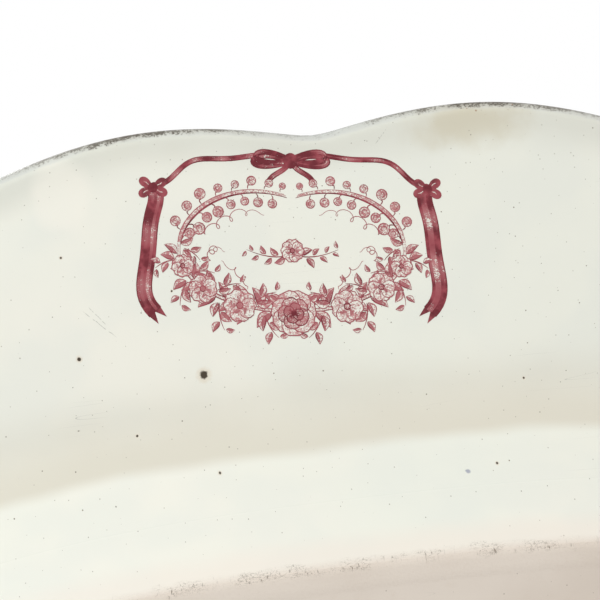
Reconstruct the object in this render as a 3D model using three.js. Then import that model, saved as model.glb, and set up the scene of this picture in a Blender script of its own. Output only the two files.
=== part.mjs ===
// A large serving platter of printed and glazed earthenware, face up, in millimetres with +Z up.
// The origin is in the plane of its foot, under its centre, and X runs along its length.
//
// The platter is one piece of fired clay, so its sub-parts are the layers that a potter adds in turn:
// the clay body, the printed films, and the glaze outside and inside the foot.
//
// Every surface is given by two numbers: an angle round the platter, and an inset, which is the distance
// in from the rim. A profile is a list of points (inset, height), and a ring joins one point all the way round.
import * as THREE from "three";

// ---- Driving dimensions ----------------------------------------------------------------------------

const LENGTH = 445;
const WIDTH = 355;
const HEIGHT = 38;
const RIM_SQUARENESS = 2.35; // superellipse exponent: 2 is an oval, and more is squarer
const FOOT_SQUARENESS = 2.75;
const THICKNESS = 5; // of the rim, with its glaze
const FOOT_INSET = 79.5; // from the rim to the outer edge of the foot
const FOOT_WIDTH = 3.5; // the flat ring that stands on the table
const BASE_RECESS = 0.9; // how far the underside inside the foot clears the table
const FLOOR_HEIGHT = 6.4; // the flat floor of the well
const WELL_INSET = 84; // from the rim to the flat floor

const SCALLOPS = 20; // shallow lobes, all of one length
const SCALLOP_DEPTH = 4.1; // how far the dip between two lobes cuts in
const SCALLOP_SOFTNESS = 0.12; // 0 makes each dip a sharp notch
const SCALLOP_REACH = 22; // the inset at which the lobes have died away

const GLAZE = 0.3; // thickness of the glaze
const LAYER_GAP = 0.05; // clearance between the clay and its glaze
const FILM = 0.1; // thickness of a printed film
const FILM_GAP = 0.3; // clearance of a film over the faceted glaze

// Printed bands on the face, from one inset to another.
const RIM_LINE = [4, 6];
const BORDER = [10, 45];
const WELL_LINE = [62, 64];

// The printed mark on the back, in the middle of the long side that faces -Y: a leafy oval wreath with a
// bow at the top and a ribbon down each side. Its own axes are x along the rim and y up towards the rim.
const MARK = { x: -6.7, inset: 23, turn: THREE.MathUtils.degToRad(-5.5) };
const WREATH = { y: -1.5, halfLength: 21, halfHeight: 11.2, band: 7 };
const BOW = { y: 15, halfWidth: 8, height: 3.6 };
const RIBBON = { x: 26.5, top: 9, bottom: -14, width: 3 };

// ---- Fineness --------------------------------------------------------------------------------------

const STEPS_PER_SCALLOP = 4;
const WREATH_STEPS = 40;
const STRIP_STEPS = 8;

// ---- Plan: the outline and its insets --------------------------------------------------------------

const squarenessAt = (inset) =>
  THREE.MathUtils.lerp(RIM_SQUARENESS, FOOT_SQUARENESS, Math.min(inset / FOOT_INSET, 1));

// The point of the oval at an inset and an angle, before the scallops are cut.
function ovalPoint(inset, angle) {
  const power = 2 / squarenessAt(inset);
  const along = Math.cos(angle);
  const across = Math.sin(angle);
  return new THREE.Vector2(
    (LENGTH / 2 - inset) * Math.sign(along) * Math.abs(along) ** power,
    (WIDTH / 2 - inset) * Math.sign(across) * Math.abs(across) ** power,
  );
}

// The length of the rim from angle 0 to each of many angles, as a share of the whole.
const RIM_SAMPLES = 7200;
const rimAngle = (i) => (2 * Math.PI * i) / RIM_SAMPLES;
const rimShare = [0];
for (let i = 1; i <= RIM_SAMPLES; i++) {
  const step = ovalPoint(0, rimAngle(i)).distanceTo(ovalPoint(0, rimAngle(i - 1)));
  rimShare.push(rimShare[i - 1] + step);
}
const rimLength = rimShare[RIM_SAMPLES];
rimShare.forEach((length, i) => (rimShare[i] = length / rimLength));

const shareAt = (angle) => {
  const turns = angle / (2 * Math.PI);
  return rimShare[Math.round((turns - Math.floor(turns)) * RIM_SAMPLES)];
};

// The angles that cut the rim into equal lengths, a whole number to each scallop.
const RING_STEPS = SCALLOPS * STEPS_PER_SCALLOP;
const ringAngles = Array.from({ length: RING_STEPS }, (_, i) =>
  rimAngle(rimShare.findIndex((share) => share >= i / RING_STEPS)),
);

// How far the scallops cut in: all of SCALLOP_DEPTH in a dip at the rim, nothing at a crest or further in.
function scallopCut(inset, angle) {
  const swing = Math.sin(Math.PI * SCALLOPS * shareAt(angle));
  const soft = SCALLOP_SOFTNESS;
  const crest = (Math.hypot(swing, soft) - soft) / (Math.hypot(1, soft) - soft);
  const fade = 1 - THREE.MathUtils.smoothstep(inset, 0, SCALLOP_REACH);
  return SCALLOP_DEPTH * (1 - crest) * fade;
}

// The point of the finished outline at an inset, an angle and a height.
function surfacePoint(inset, angle, height) {
  const p = ovalPoint(inset, angle);
  const next = ovalPoint(inset, angle + 0.001);
  const before = ovalPoint(inset, angle - 0.001);
  const inward = new THREE.Vector2(before.y - next.y, next.x - before.x).normalize();
  p.addScaledVector(inward, scallopCut(inset, angle));
  return new THREE.Vector3(p.x, p.y, height);
}

// ---- Profiles --------------------------------------------------------------------------------------

const LIP = THICKNESS / 2;

// The upper side, from the flat floor out to the lip: the curved wall of the well, then the sloping rim.
const face = new THREE.Path()
  .moveTo(WELL_INSET, FLOOR_HEIGHT)
  .quadraticCurveTo(75, FLOOR_HEIGHT + 0.2, 69, 13.5)
  .lineTo(59, 25.4)
  .quadraticCurveTo(55, 30.2, 48, 31)
  .bezierCurveTo(34, 32.6, 20, 36.6, 7, HEIGHT - 0.4)
  .lineTo(LIP, HEIGHT);

// The under side, from the lip to the foot: the rim's gentle S, the hollow shoulder and the outside of the well.
const back = new THREE.Path()
  .absarc(LIP, HEIGHT - LIP, LIP, Math.PI / 2, 1.5 * Math.PI, false)
  .bezierCurveTo(15, 31.9, 38, 26.4, 51, 25.4)
  .quadraticCurveTo(57.6, 24.8, 62.5, 19.1)
  .lineTo(FOOT_INSET - 3.4, 3.6)
  .quadraticCurveTo(FOOT_INSET - 1.4, 1.2, FOOT_INSET, BASE_RECESS);

// A profile's points, one list for the whole path, without the ones that two of its curves share.
function profilePoints(path, divisions) {
  const points = path.curves.flatMap((curve) => curve.getPoints(curve.isLineCurve ? 1 : divisions));
  return points.filter((p, i) => i === 0 || p.distanceTo(points[i - 1]) > 1e-3);
}

const outline = [...profilePoints(face, 3), ...profilePoints(back, 3).slice(1)];

// The points of a profile moved into the body, square to it. A negative depth moves them out of it.
function sunk(points, depth) {
  return points.map((p, i) => {
    const before = points[Math.max(i - 1, 0)];
    const after = points[Math.min(i + 1, points.length - 1)];
    const along = after.clone().sub(before).normalize();
    return new THREE.Vector2(p.x - along.y * depth, p.y + along.x * depth);
  });
}

// A stretch of the upper profile between two insets.
function faceBand([outer, inner], steps) {
  const fine = profilePoints(face, 60);
  return Array.from({ length: steps + 1 }, (_, i) => {
    const inset = THREE.MathUtils.lerp(inner, outer, i / steps);
    const k = fine.findIndex((p) => p.x <= inset);
    const [a, b] = [fine[k - 1], fine[k]];
    return a.clone().lerp(b, (a.x - inset) / (a.x - b.x));
  });
}

// ---- Solids ----------------------------------------------------------------------------------------

function meshOf(name, material, positions, indices) {
  const geometry = new THREE.BufferGeometry();
  geometry.setAttribute("position", new THREE.Float32BufferAttribute(positions.flatMap((p) => p.toArray()), 3));
  geometry.setIndex(indices);
  geometry.computeVertexNormals();
  const mesh = new THREE.Mesh(geometry, material);
  mesh.name = name;
  return mesh;
}

// Two triangles for each cell of a grid of closed rows, cut along the cell's shorter diagonal. Two surfaces a
// small way apart are cut alike in this way, and stay clear of each other.
function gridFaces(positions, rows) {
  const faces = [];
  for (let r = 0; r + 1 < rows.length; r++) {
    const count = rows[r].length;
    for (let c = 0; c < count; c++) {
      const [a, b] = [rows[r][c], rows[r][(c + 1) % count]];
      const [d, e] = [rows[r + 1][c], rows[r + 1][(c + 1) % count]];
      const across = positions[a].distanceTo(positions[e]) < positions[b].distanceTo(positions[d]);
      faces.push(...(across ? [a, d, e, a, e, b] : [a, d, b, b, d, e]));
    }
  }
  return faces;
}

// A solid all the way round. Its profile either closes on itself, or starts and ends on flat discs.
function loft(name, material, profile, { discs }) {
  const positions = profile.flatMap((p) => ringAngles.map((angle) => surfacePoint(p.x, angle, p.y)));
  const rows = profile.map((_, r) => ringAngles.map((_, c) => r * RING_STEPS + c));
  const faces = gridFaces(positions, discs ? rows : [...rows, rows[0]]);
  if (discs) {
    const [first, last] = [rows[0], rows[rows.length - 1]];
    const middle = positions.length;
    positions.push(new THREE.Vector3(0, 0, profile[0].y));
    positions.push(new THREE.Vector3(0, 0, profile[profile.length - 1].y));
    first.forEach((v, c) => faces.push(middle, v, first[(c + 1) % RING_STEPS]));
    last.forEach((v, c) => faces.push(middle + 1, last[(c + 1) % RING_STEPS], v));
  }
  return meshOf(name, material, positions, faces);
}

// The depth of the back's surface at an inset.
const backFine = profilePoints(back, 60).slice(60);
function backHeight(inset) {
  const k = backFine.findIndex((p) => p.x >= inset);
  const [a, b] = [backFine[k - 1], backFine[k]];
  return THREE.MathUtils.mapLinear(inset, a.x, b.x, a.y, b.y);
}

// A point of the mark laid on the back, a given clearance below it.
function markPoint(x, y, clearance) {
  const p = new THREE.Vector2(x, y).rotateAround(new THREE.Vector2(), MARK.turn);
  const inset = MARK.inset - p.y;
  const along = (MARK.x + p.x) / (LENGTH / 2 - inset);
  const angle = -Math.acos(Math.sign(along) * Math.abs(along) ** (squarenessAt(inset) / 2));
  return surfacePoint(inset, angle, backHeight(inset) - clearance);
}

// A thin film on the back. It follows pairs of edge points, the right-hand one first, and may close into a loop.
function film(name, material, pairs, closed) {
  const near = pairs.flatMap((pair) => pair.map(([x, y]) => markPoint(x, y, FILM_GAP)));
  const far = pairs.flatMap((pair) => pair.map(([x, y]) => markPoint(x, y, FILM_GAP + FILM)));
  const positions = [...near, ...far];
  const count = near.length;
  const rows = pairs.map((_, i) => [2 * i + 1, 2 * i, count + 2 * i, count + 2 * i + 1]);
  const faces = gridFaces(positions, closed ? [...rows, rows[0]] : rows);
  if (!closed) {
    const [a, b] = [rows[0], rows[rows.length - 1]];
    faces.push(a[0], a[1], a[2], a[0], a[2], a[3]);
    faces.push(b[0], b[2], b[1], b[0], b[3], b[2]);
  }
  return meshOf(name, material, positions, faces);
}

// ---- Sub-parts -------------------------------------------------------------------------------------

const clay = new THREE.MeshStandardMaterial({ color: 0xd9c9b4, roughness: 0.85, metalness: 0 });
const glaze = new THREE.MeshStandardMaterial({ color: 0xe9ebe0, roughness: 0.15, metalness: 0 });
const ink = new THREE.MeshStandardMaterial({ color: 0x8e3a4a, roughness: 0.2, metalness: 0 });

function clayBody() {
  const footInner = FOOT_INSET + FOOT_WIDTH;
  const top = BASE_RECESS + GLAZE + LAYER_GAP;
  const foot = [
    new THREE.Vector2(FOOT_INSET + 0.5, 0),
    new THREE.Vector2(footInner, 0),
    new THREE.Vector2(footInner + 0.6, top),
  ];
  return loft("clay_body", clay, [...sunk(outline, GLAZE + LAYER_GAP), ...foot], { discs: true });
}

function outerGlaze() {
  return loft("glaze_coat", glaze, [...outline, ...sunk(outline, GLAZE).reverse()], { discs: true });
}

function footGlaze() {
  const edge = FOOT_INSET + FOOT_WIDTH + 1;
  const upper = new THREE.Vector2(edge, BASE_RECESS + GLAZE);
  const lower = new THREE.Vector2(edge, BASE_RECESS);
  return loft("base_glaze", glaze, [upper, lower], { discs: true });
}

function faceFilm(name, band, steps) {
  const points = faceBand(band, steps);
  const loop = [...sunk(points, -FILM_GAP - FILM), ...sunk(points, -FILM_GAP).reverse()];
  return loft(name, ink, loop, { discs: false });
}

function wreath() {
  const pairs = Array.from({ length: WREATH_STEPS }, (_, i) => {
    const t = (2 * Math.PI * i) / WREATH_STEPS;
    return [WREATH.band / 2, -WREATH.band / 2].map((grow) => [
      (WREATH.halfLength + grow) * Math.cos(t),
      WREATH.y + (WREATH.halfHeight + grow) * Math.sin(t),
    ]);
  });
  return film("mark_wreath_print", ink, pairs, true);
}

// A ribbon runs down beside the wreath.
function ribbon(name, side) {
  const pairs = Array.from({ length: STRIP_STEPS + 1 }, (_, i) => {
    const t = i / STRIP_STEPS;
    const middle = side * RIBBON.x;
    const y = THREE.MathUtils.lerp(RIBBON.top, RIBBON.bottom, t);
    return [
      [middle - RIBBON.width / 2, y],
      [middle + RIBBON.width / 2, y],
    ];
  });
  return film(name, ink, pairs, false);
}

// The bow is a strip across the top of the wreath, pinched at its knot.
function bow() {
  const pairs = Array.from({ length: STRIP_STEPS + 1 }, (_, i) => {
    const t = (2 * i) / STRIP_STEPS - 1;
    const half = (BOW.height / 2) * (0.3 + 0.7 * Math.sin(Math.PI * Math.abs(t)) ** 0.7);
    return [
      [BOW.halfWidth * t, BOW.y - half],
      [BOW.halfWidth * t, BOW.y + half],
    ];
  });
  return film("mark_bow", ink, pairs, false);
}

const platter = new THREE.Group();
platter.add(clayBody(), outerGlaze(), footGlaze());
platter.add(faceFilm("rim_line_print", RIM_LINE, 1));
platter.add(faceFilm("border_print", BORDER, 3));
platter.add(faceFilm("well_line_print", WELL_LINE, 1));
platter.add(wreath(), bow(), ribbon("mark_ribbon_left", -1), ribbon("mark_ribbon_right", 1));

export default platter;
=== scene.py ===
# %% [markdown]
# # A printed earthenware platter
# This lesson builds the finish of a big scalloped serving platter over its exact CAD frame. The platter
# lies face up, but the camera looks up at its back, where a small crimson mark is printed under the rim.
# So the back of the rim gets the most care: its gentle S, its glaze, its wear, and the engraved lines of
# the mark.

# %% Load the frame
import bmesh
import bpy
import cmath
import math
import random
from mathutils import Matrix, Vector
from mathutils.bvhtree import BVHTree


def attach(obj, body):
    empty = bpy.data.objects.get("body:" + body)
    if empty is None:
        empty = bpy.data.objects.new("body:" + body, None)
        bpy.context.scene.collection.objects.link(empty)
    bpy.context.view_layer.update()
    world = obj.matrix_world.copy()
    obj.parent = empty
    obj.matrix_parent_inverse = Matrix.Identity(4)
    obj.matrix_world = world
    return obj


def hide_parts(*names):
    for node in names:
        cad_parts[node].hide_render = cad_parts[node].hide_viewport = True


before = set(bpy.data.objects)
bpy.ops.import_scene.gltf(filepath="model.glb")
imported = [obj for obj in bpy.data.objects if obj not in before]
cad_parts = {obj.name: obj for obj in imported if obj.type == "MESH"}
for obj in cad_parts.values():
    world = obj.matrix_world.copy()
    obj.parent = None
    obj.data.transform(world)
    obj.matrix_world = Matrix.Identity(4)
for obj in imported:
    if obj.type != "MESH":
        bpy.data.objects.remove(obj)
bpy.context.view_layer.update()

MM = 0.001

# %% [markdown]
# ## One small class for every node tree
# Shaders and Geometry Nodes are both trees of nodes. Written out by hand they are hard to read, so a
# wire, the output of a node, is wrapped in a class that knows arithmetic: `1 - mask * 2` then adds the
# Math nodes by itself. Every other node comes from `Nodes.add`, which takes its settings first and then
# its sockets.


# %% The wire and the node tree
class Wire:
    """One output of a node. Arithmetic on wires adds Math nodes."""

    def __init__(self, nodes, socket):
        self.nodes = nodes
        self.socket = socket

    def math(self, operation, *values):
        return self.nodes.add("ShaderNodeMath", {"operation": operation}, dict(enumerate(values)))

    def __add__(self, other):
        return self.math("ADD", self, other)

    def __sub__(self, other):
        return self.math("SUBTRACT", self, other)

    def __rsub__(self, other):
        return self.math("SUBTRACT", other, self)

    def __mul__(self, other):
        return self.math("MULTIPLY", self, other)

    def __truediv__(self, other):
        return self.math("DIVIDE", self, other)

    def __rtruediv__(self, other):
        return self.math("DIVIDE", other, self)

    def __pow__(self, other):
        return self.math("POWER", self, other)

    def __abs__(self):
        return self.math("ABSOLUTE", self)

    __radd__ = __add__
    __rmul__ = __mul__


class Nodes:
    """A node tree that is being written."""

    def __init__(self, tree):
        self.tree = tree

    def add(self, kind, settings=None, sockets=None, out=0):
        node = self.tree.nodes.new(kind)
        for name, value in (settings or {}).items():
            setattr(node, name, value)
        for name, value in (sockets or {}).items():
            if isinstance(value, Wire):
                self.tree.links.new(value.socket, node.inputs[name])
            else:
                node.inputs[name].default_value = value
        return Wire(self, node.outputs[out]) if len(node.outputs) else None

    def smooth(self, value, low, high):
        """0 at low and 1 at high, with soft ends. low may be the larger one."""
        sockets = {"Value": value, "From Min": low, "From Max": high}
        return self.add("ShaderNodeMapRange", {"interpolation_type": "SMOOTHSTEP"}, sockets)

    def blend(self, low, high, share):
        """A colour between two colours."""
        return self.add("ShaderNodeMix", {"data_type": "RGBA"}, {0: share, 6: low, 7: high}, out=2)

    def vector(self, operation, *values, out=0):
        return self.add("ShaderNodeVectorMath", {"operation": operation}, dict(enumerate(values)), out)

    def scale(self, vector, by):
        return self.add("ShaderNodeVectorMath", {"operation": "SCALE"}, {"Vector": vector, "Scale": by})

    def noise(self, place, scale, detail=2.0, roughness=0.5):
        sockets = {"Vector": place, "Scale": scale, "Detail": detail, "Roughness": roughness}
        return self.add("ShaderNodeTexNoise", {}, sockets)

    def group_inputs(self, kinds):
        """Named inputs of a group, as wires."""
        for name, kind in kinds.items():
            self.tree.interface.new_socket(name, in_out="INPUT", socket_type="NodeSocket" + kind)
        entry = self.tree.nodes.new("NodeGroupInput")
        return {name: Wire(self, entry.outputs[name]) for name in kinds}

    def finish_geometry(self, geometry, material):
        """The end of every Geometry Nodes tree here: real faces with their material."""
        real = self.add("GeometryNodeRealizeInstances", {}, {"Geometry": geometry})
        done = self.add("GeometryNodeSetMaterial", {}, {"Geometry": real, "Material": material})
        self.tree.interface.new_socket("Geometry", in_out="OUTPUT", socket_type="NodeSocketGeometry")
        leave = self.tree.nodes.new("NodeGroupOutput")
        self.tree.links.new(done.socket, leave.inputs[0])


def geometry_tree(name, kinds):
    nodes = Nodes(bpy.data.node_groups.new(name, "GeometryNodeTree"))
    return nodes, nodes.group_inputs(kinds)


print("node helpers ready")

# %% [markdown]
# ## The camera
# The camera stands under the rim and looks up, a little from the left, so that the right side is farther
# away. It is rolled, so the rim rises to the right.

# %% Camera
VIEW_TARGET = Vector((-6.3, -143.4, 28)) * MM
VIEW_DISTANCE = 450 * MM
VIEW_OUTWARD = math.radians(2.9)      # how far the view leans outward from straight up
VIEW_YAW = math.radians(8.15)
VIEW_ROLL = math.radians(-5.5)
VIEW_LENS = 146.9                     # millimetres, on the standard 36 mm sensor

forward = Vector((
    math.sin(VIEW_YAW) * math.cos(VIEW_OUTWARD),
    math.sin(VIEW_OUTWARD),
    math.cos(VIEW_YAW) * math.cos(VIEW_OUTWARD),
))
level_right = forward.cross(Vector((0, -1, 0))).normalized()
roll = Matrix.Rotation(-VIEW_ROLL, 3, forward)
right = roll @ level_right
up = right.cross(forward)
camera = bpy.data.objects.new("camera", bpy.data.cameras.new("camera"))
camera.data.lens = VIEW_LENS
camera.data.clip_start = 0.01
camera.matrix_world = Matrix.Translation(VIEW_TARGET - forward * VIEW_DISTANCE) @ Matrix(
    (right, up, -forward)
).transposed().to_4x4()
bpy.context.scene.collection.objects.link(camera)
bpy.context.scene.camera = camera
print("camera at", [round(v, 3) for v in camera.matrix_world.translation])

# %% [markdown]
# ## Light, floor and background
# Glazed china looks best in a white tent, in broad soft light with no hard shadows. The light that
# matters here comes from below, because the back of the rim faces down. It stands outward from the rim,
# so the wall of the well is the brightest surface, and the flat base, which it only grazes, is darker.
# The floor is seen from above only: it lets every other ray through, or it would hide the back from the
# camera and from these lights. It glows a little, and more towards its far edges, so that it runs into
# the white background.


# %% Lights
def softbox(name, place, target, size, power, colour, shines=True):
    """A square soft light that the camera doesn't see. Its size is in metres and its power in watts."""
    light = bpy.data.lights.new(name, "AREA")
    light.size = size
    light.energy = power
    light.color = colour
    lamp = bpy.data.objects.new(name, light)
    lamp.location = place
    lamp.rotation_euler = (Vector(target) - Vector(place)).to_track_quat("-Z", "Y").to_euler()
    lamp.visible_camera = False
    lamp.visible_glossy = shines
    bpy.context.scene.collection.objects.link(lamp)


MARK_SIDE = (0, -0.14, 0.03)
softbox("below_key", (-0.5, -0.85, -0.75), MARK_SIDE, 0.9, 9.6, (0.962, 1, 0.992), shines=False)
softbox("below_shine", (-0.62, -0.70, -0.75), MARK_SIDE, 0.5, 1.2, (1, 1, 0.985))
softbox("below_warm", (0.9, -0.5, -0.9), MARK_SIDE, 0.9, 3.4, (1, 0.72, 0.60), shines=False)
softbox("above_key", (-0.9, -0.9, 1.5), (0, 0, 0), 1.2, 26, (1, 0.99, 0.97))
softbox("above_fill", (1.2, 0.7, 1.1), (0, 0, 0), 1.4, 9, (0.97, 0.98, 1))

WORLD_LIGHT = 0.42
world = bpy.data.worlds.new("white_tent")
bpy.context.scene.world = world
world.use_nodes = True
world.node_tree.nodes.clear()
tent = Nodes(world.node_tree)
seen = tent.add("ShaderNodeLightPath", out="Is Camera Ray")
strength = WORLD_LIGHT + seen * (1 - WORLD_LIGHT)
sky = tent.add("ShaderNodeBackground", {}, {"Color": (1, 1, 1, 1), "Strength": strength})
tent.add("ShaderNodeOutputWorld", {}, {"Surface": sky})
bpy.context.scene.view_settings.view_transform = "Standard"

# %% Floor
FLOOR_SIZE = 8
FLOOR_GAP = 0.2 * MM
FLOOR_PAINT = (0.5, 0.5, 0.495, 1)
FLOOR_GLOW = (1, 1, 0.99, 1)
NEAR_GLOW = 0.52
FAR_GLOW = 0.98
floor_mesh = bpy.data.meshes.new("floor")
half = FLOOR_SIZE / 2
floor_mesh.from_pydata(
    [(x, y, -FLOOR_GAP) for x, y in ((-half, -half), (half, -half), (half, half), (-half, half))],
    [],
    [(0, 1, 2, 3)],
)
floor = bpy.data.objects.new("floor", floor_mesh)
bpy.context.scene.collection.objects.link(floor)
floor.visible_diffuse = False
floor.visible_glossy = False
floor.visible_transmission = False
floor.visible_shadow = False
floor_material = bpy.data.materials.new("pale_floor")
floor_material.use_nodes = True
floor_material.node_tree.nodes.clear()
paint = Nodes(floor_material.node_tree)
matt = paint.add("ShaderNodeBsdfDiffuse", {}, {"Color": FLOOR_PAINT})
from_middle = paint.vector("LENGTH", paint.add("ShaderNodeTexCoord", out="Object"), out="Value")
brightness = NEAR_GLOW + paint.smooth(from_middle, 0.4, 3.4) * (FAR_GLOW - NEAR_GLOW)
glow = paint.add("ShaderNodeEmission", {}, {"Color": FLOOR_GLOW, "Strength": brightness})
top_side = paint.add("ShaderNodeAddShader", {}, {0: matt, 1: glow})
under_side = paint.add("ShaderNodeBsdfTransparent")
facing_away = paint.add("ShaderNodeNewGeometry", out="Backfacing")
one_sided = paint.add("ShaderNodeMixShader", {}, {0: facing_away, 1: top_side, 2: under_side})
paint.add("ShaderNodeOutputMaterial", {}, {"Surface": one_sided})
floor_mesh.materials.append(floor_material)
print("floor:", FLOOR_SIZE, "m wide and", round(FLOOR_GAP / MM, 1), "mm under the foot")

# %% [markdown]
# ## The glaze
# Old cream glaze looks plain, but it is full of small events: pinholes, a few big pits with a pale halo,
# fine scratches, a stain near the rim, and dirt in the worn edge of the lip and along the foot. All of
# them are masks worked out from the object's own coordinates, in millimetres, and from two numbers that
# the loft stores on its points: `inset_mm`, the distance in from the rim, and `crest`, which is 1 on the
# bulge of a scallop and 0 in a dip.


# %% Helpers for materials
GLAZE_IOR = 1.5


def new_material(name):
    material = bpy.data.materials.new(name)
    material.use_nodes = True
    material.node_tree.nodes.clear()
    return material, Nodes(material.node_tree)


def place_mm(nodes):
    """The point's place on the object, in millimetres."""
    return nodes.scale(nodes.add("ShaderNodeTexCoord", out="Object"), 1 / MM)


def number(nodes, name):
    """A number stored on the points of the mesh."""
    return nodes.add("ShaderNodeAttribute", {"attribute_name": name}, out="Fac")


def spot(nodes, place, centre, radii):
    """The distance from a point in X and Y, in units of its radii, so that it is 1 on the spot's edge."""
    shift = nodes.vector("SUBTRACT", place, (*centre, 0))
    scaled = nodes.vector("MULTIPLY", shift, (1 / radii[0], 1 / radii[1], 0))
    return nodes.vector("LENGTH", scaled, out="Value")


def specks(nodes, place, cell, radius, share):
    """Round specks about one cell apart, in a share of the cells."""
    settings = {"voronoi_dimensions": "2D", "feature": "F1"}
    voronoi = nodes.add("ShaderNodeTexVoronoi", settings, {"Vector": place, "Scale": 1 / cell})
    colour = Wire(nodes, voronoi.socket.node.outputs["Color"])
    chance = nodes.add("ShaderNodeSeparateColor", {}, {"Color": colour})
    size = Wire(nodes, chance.socket.node.outputs[1]) * radius / cell
    near = nodes.smooth(voronoi, size, size * 0.55)
    return near * chance.math("LESS_THAN", chance, share)


def facing_down(nodes):
    """1 on the back of the platter and 0 on its face."""
    normal = nodes.add("ShaderNodeNewGeometry", out="Normal")
    return nodes.smooth(nodes.add("ShaderNodeSeparateXYZ", {}, {"Vector": normal}, out="Z"), 0.1, -0.1)


def drift_by(nodes, place, scale, detail, reach):
    """A soft unevenness of up to half the reach either way, which makes an edge ragged."""
    return (nodes.noise(place, scale, detail) - 0.5) * reach


def bumpy(nodes, height, strength, distance=1.0):
    """A bump from a height, with its distance in millimetres."""
    sockets = {"Height": height, "Strength": strength, "Distance": distance * MM}
    return nodes.add("ShaderNodeBump", {}, sockets)


def principled(nodes, sockets):
    """The shader and the output of a material."""
    shader = nodes.add("ShaderNodeBsdfPrincipled", {}, {"IOR": GLAZE_IOR} | sockets)
    nodes.add("ShaderNodeOutputMaterial", {}, {"Surface": shader})


print("material helpers ready")

# %% Colours and places
CREAM = (0.815, 0.815, 0.74, 1)
GREENISH = (0.765, 0.80, 0.73, 1)
COOL = (0.735, 0.765, 0.715, 1)
# The colour of a painted highlight on the back.
PAINTED_HIGHLIGHT = (0.86, 0.845, 0.765, 1)
# The colour of the painted shade in the shoulder's hollow.
SHOULDER_SHADE = (0.68, 0.66, 0.57, 1)
PINKISH = (0.82, 0.755, 0.68, 1)
BASE_PINK = (0.75, 0.685, 0.61, 1)
STAIN = (0.57, 0.52, 0.38, 1)
DIRT = (0.085, 0.07, 0.052, 1)
SOOT = (0.36, 0.33, 0.27, 1)
EARTH = (0.13, 0.098, 0.065, 1)
RUST = (0.27, 0.12, 0.05, 1)
# The colour of the painted shade towards the rim.
RIM_SHADE = (0.69, 0.705, 0.64, 1)
# The colour of the painted reflection on the lip.
LIP_REFLECTION = (0.60, 0.62, 0.60, 1)
PINHOLE = (0.21, 0.185, 0.145, 1)
PIT = (0.06, 0.045, 0.03, 1)
HALO = (0.74, 0.70, 0.60, 1)
SCRATCH = (0.30, 0.31, 0.28, 1)
BLUE_SPECK = (0.13, 0.15, 0.30, 1)

# The biggest flaws in the glaze of the back: where they are in X and Y, and how far they reach, in mm.
PITS = [
    ((-25.5, -131.7), 0.85), ((-47.7, -136.9), 0.38), ((-49.0, -155.4), 0.22), ((-29.6, -147.4), 0.2),
    ((21.5, -161.4), 0.25), ((-38.8, -122.1), 0.24), ((-25.1, -114.4), 0.24), ((33.6, -124.9), 0.22),
    ((24.8, -111.0), 0.22),
]
SCRATCHES = [
    ((-46.4, -145.6), (-40.3, -139.9), 0.10), ((-45.2, -146.3), (-41.9, -142.2), 0.09),
    ((14.0, -173.6), (11.2, -170.5), 0.10),
]

# Softer marks: a place in X and Y, and two radii.
BLUE_MARK = ((19.1, -110.3), (0.55, 0.45))
RUST_MARK = ((36.0, -174.5), (9, 4))
STAIN_MARK = ((29.0, -173.0), (13.5, 5.6))
# The place and radii of the painted highlight.
HIGHLIGHT_MARK = ((-47.8, -167.0), (6.5, 9))
print(len(PITS), "pits and", len(SCRATCHES), "scratches have a place of their own")

# %% [markdown]
# ## Pits, pinholes and scratches
# Gas that leaves the clay in the kiln breaks through the soft glaze. Small holes are everywhere, so they
# are the round cells of a Voronoi pattern, in two sizes. The few big pits have a place of their own, and
# noise makes their edges ragged. A scattered scratch is the thin line where a stretched noise crosses its
# middle, and one with a place of its own is a straight stroke that wobbles a little.


# %% Pits, pinholes and scratches
def glaze_flaws(nodes, place, colour):
    """The pits, pinholes and specks: the coloured glaze and a mask of what is hollow."""
    small = specks(nodes, place, cell=6.5, radius=0.17, share=0.55)
    elsewhere = nodes.vector("ADD", place, (31, 17, 0))
    fine = specks(nodes, elsewhere, cell=2.8, radius=0.13, share=0.6)
    hollow = small.math("MAXIMUM", small, fine * 0.75)
    colour = nodes.blend(colour, PINHOLE, hollow)
    ragged = drift_by(nodes, place, 1.6, 3, 0.9)
    below = facing_down(nodes)
    for centre, radius in PITS:
        edge = spot(nodes, place, centre, (radius, radius)) + ragged
        colour = nodes.blend(colour, HALO, nodes.smooth(edge, 2.1, 1.0) * below)
        pit = nodes.smooth(edge, 1.05, 0.7) * below
        colour = nodes.blend(colour, PIT, pit)
        hollow = hollow.math("MAXIMUM", hollow, pit)
    blue = nodes.smooth(spot(nodes, place, *BLUE_MARK) + ragged, 1, 0.5)
    return nodes.blend(colour, BLUE_SPECK, blue * below * 0.6), hollow


def scratches(nodes, place):
    """Fine scratches: a few known ones on the back, and scattered wisps."""
    sockets = {"Vector": place, "Rotation": (0, 0, 0.9), "Scale": (0.02, 0.35, 0.1)}
    stretched = nodes.add("ShaderNodeMapping", {}, sockets)
    line = abs(nodes.noise(stretched, 1.0, 1) - 0.5)
    few = nodes.smooth(nodes.noise(place, 0.045, 1), 0.62, 0.68)
    found = nodes.smooth(line, 0.0018, 0.0005) * few
    wobble = drift_by(nodes, place, 0.6, 2, 0.35)
    worn = nodes.smooth(nodes.noise(place, 2.2, 2), 0.38, 0.55) * facing_down(nodes)
    for start, end, width in SCRATCHES:
        start, end = complex(*start), complex(*end)
        way = (end - start) / abs(end - start)
        middle = (start + end) / 2
        shift = nodes.vector("SUBTRACT", place, (middle.real, middle.imag, 0))
        along = nodes.vector("DOT_PRODUCT", shift, (way.real, way.imag, 0), out="Value")
        across = nodes.vector("DOT_PRODUCT", shift, (-way.imag, way.real, 0), out="Value")
        reach = abs(end - start) / 2
        thin = nodes.smooth(abs(across + wobble), width, width * 0.35)
        mask = thin * nodes.smooth(abs(along), reach, reach * 0.6)
        found = found.math("MAXIMUM", found, mask * worn)
    return found


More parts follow.
